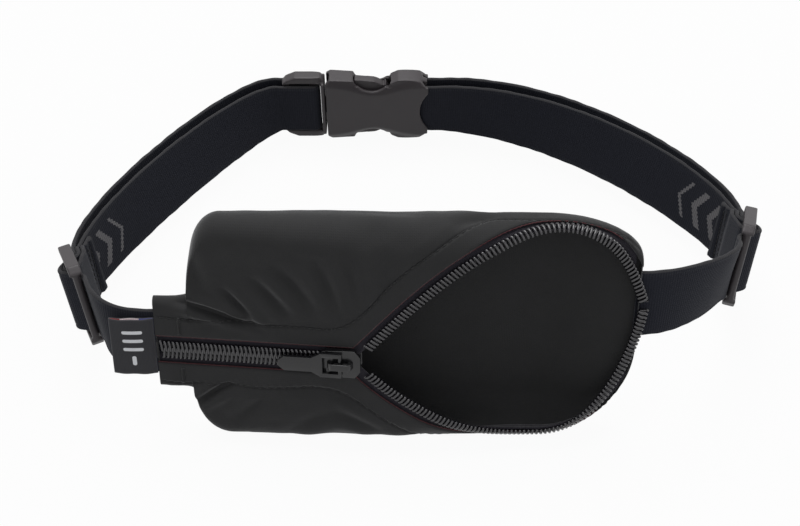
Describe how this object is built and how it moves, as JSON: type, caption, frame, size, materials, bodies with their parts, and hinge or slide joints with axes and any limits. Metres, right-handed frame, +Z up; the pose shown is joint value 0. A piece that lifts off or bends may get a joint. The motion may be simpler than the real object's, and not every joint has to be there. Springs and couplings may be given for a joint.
{
  "type": "travel money belt",
  "caption": "Stretch running and travel money belt: a slim zip pouch with a half-open coil zip on an adjustable elastic waist strap with tri-glides and a side-release buckle.",
  "frame": {"origin": "middle of the base of the whole belt's box, on the surface that it stands on", "axes": "+Z up, +X to the right seen from outside the pouch, +Y from the pouch back to the buckle, so the zip faces -Y"},
  "size_m": [0.2636, 0.1668, 0.082],
  "materials": {
    "pouch_fabric": "matte knitted stretch fabric",
    "strap_elastic": "ribbed woven elastic",
    "hardware_plastic": "satin moulded acetal",
    "zip_tape": "fine woven tape",
    "zip_coil": "glossy nylon coil",
    "zip_slider": "satin black enamel",
    "label": "fine woven label",
    "thread": "dense stitching"
  },
  "bodies": {
    "belt": {"pouch_back_panel": "pouch_fabric", "pouch_upper_panel": "pouch_fabric", "pouch_lower_panel": "pouch_fabric", "zip_tape_upper": "zip_tape", "zip_tape_lower": "zip_tape", "zip_coil_upper_closed": "zip_coil", "zip_coil_lower_closed": "zip_coil", "zip_coil_upper_open": "zip_coil", "zip_coil_lower_open": "zip_coil", "zip_end_stops": "thread", "woven_label": "label", "bartacks": "thread", "left_anchor_strap": "strap_elastic", "left_strap_outer": "strap_elastic", "left_strap_inner": "strap_elastic", "left_strap_hem": "strap_elastic", "left_hem_flap": "strap_elastic", "left_buckle_fold": "strap_elastic", "left_tri_glide": "hardware_plastic", "right_anchor_strap": "strap_elastic", "right_strap_outer": "strap_elastic", "right_strap_inner": "strap_elastic", "right_strap_hem": "strap_elastic", "right_hem_flap": "strap_elastic", "right_buckle_fold": "strap_elastic", "right_tri_glide": "hardware_plastic", "buckle_female": "hardware_plastic", "buckle_male_base": "hardware_plastic"},
    "zip_slider": {"zip_slider_body": "zip_slider", "zip_slider_bridge": "zip_slider"},
    "pull": {"zip_pull": "zip_slider"},
    "upper_arm": {"buckle_arm_upper": "hardware_plastic"},
    "lower_arm": {"buckle_arm_lower": "hardware_plastic"}
  },
  "joints": [
    {"name": "zip_slide", "type": "slide", "parent": "belt", "child": "zip_slider", "axis": [-0.9929, 0.11, -0.0444], "range_m": [0, 0.045], "deforming": ["zip_coil_upper_closed", "zip_coil_lower_closed"]},
    {"name": "pull_hinge", "type": "hinge", "parent": "zip_slider", "child": "pull", "pos_m": [-0.02502, -0.07506, 0.03825], "axis": [0, 0.3746, 0.9272], "range_deg": [0, 170]},
    {"name": "upper_arm_squeeze", "type": "hinge", "parent": "belt", "child": "upper_arm", "pos_m": [-0.03379, 0.07857, 0.026], "axis": [0, 1, 0], "range_deg": [0, 12], "stiffness_Nm_per_rad": 1.2},
    {"name": "lower_arm_squeeze", "type": "hinge", "parent": "belt", "child": "lower_arm", "pos_m": [-0.03379, 0.07857, 0.008], "axis": [0, -1, 0], "range_deg": [0, 12], "stiffness_Nm_per_rad": 1.2}
  ]
}
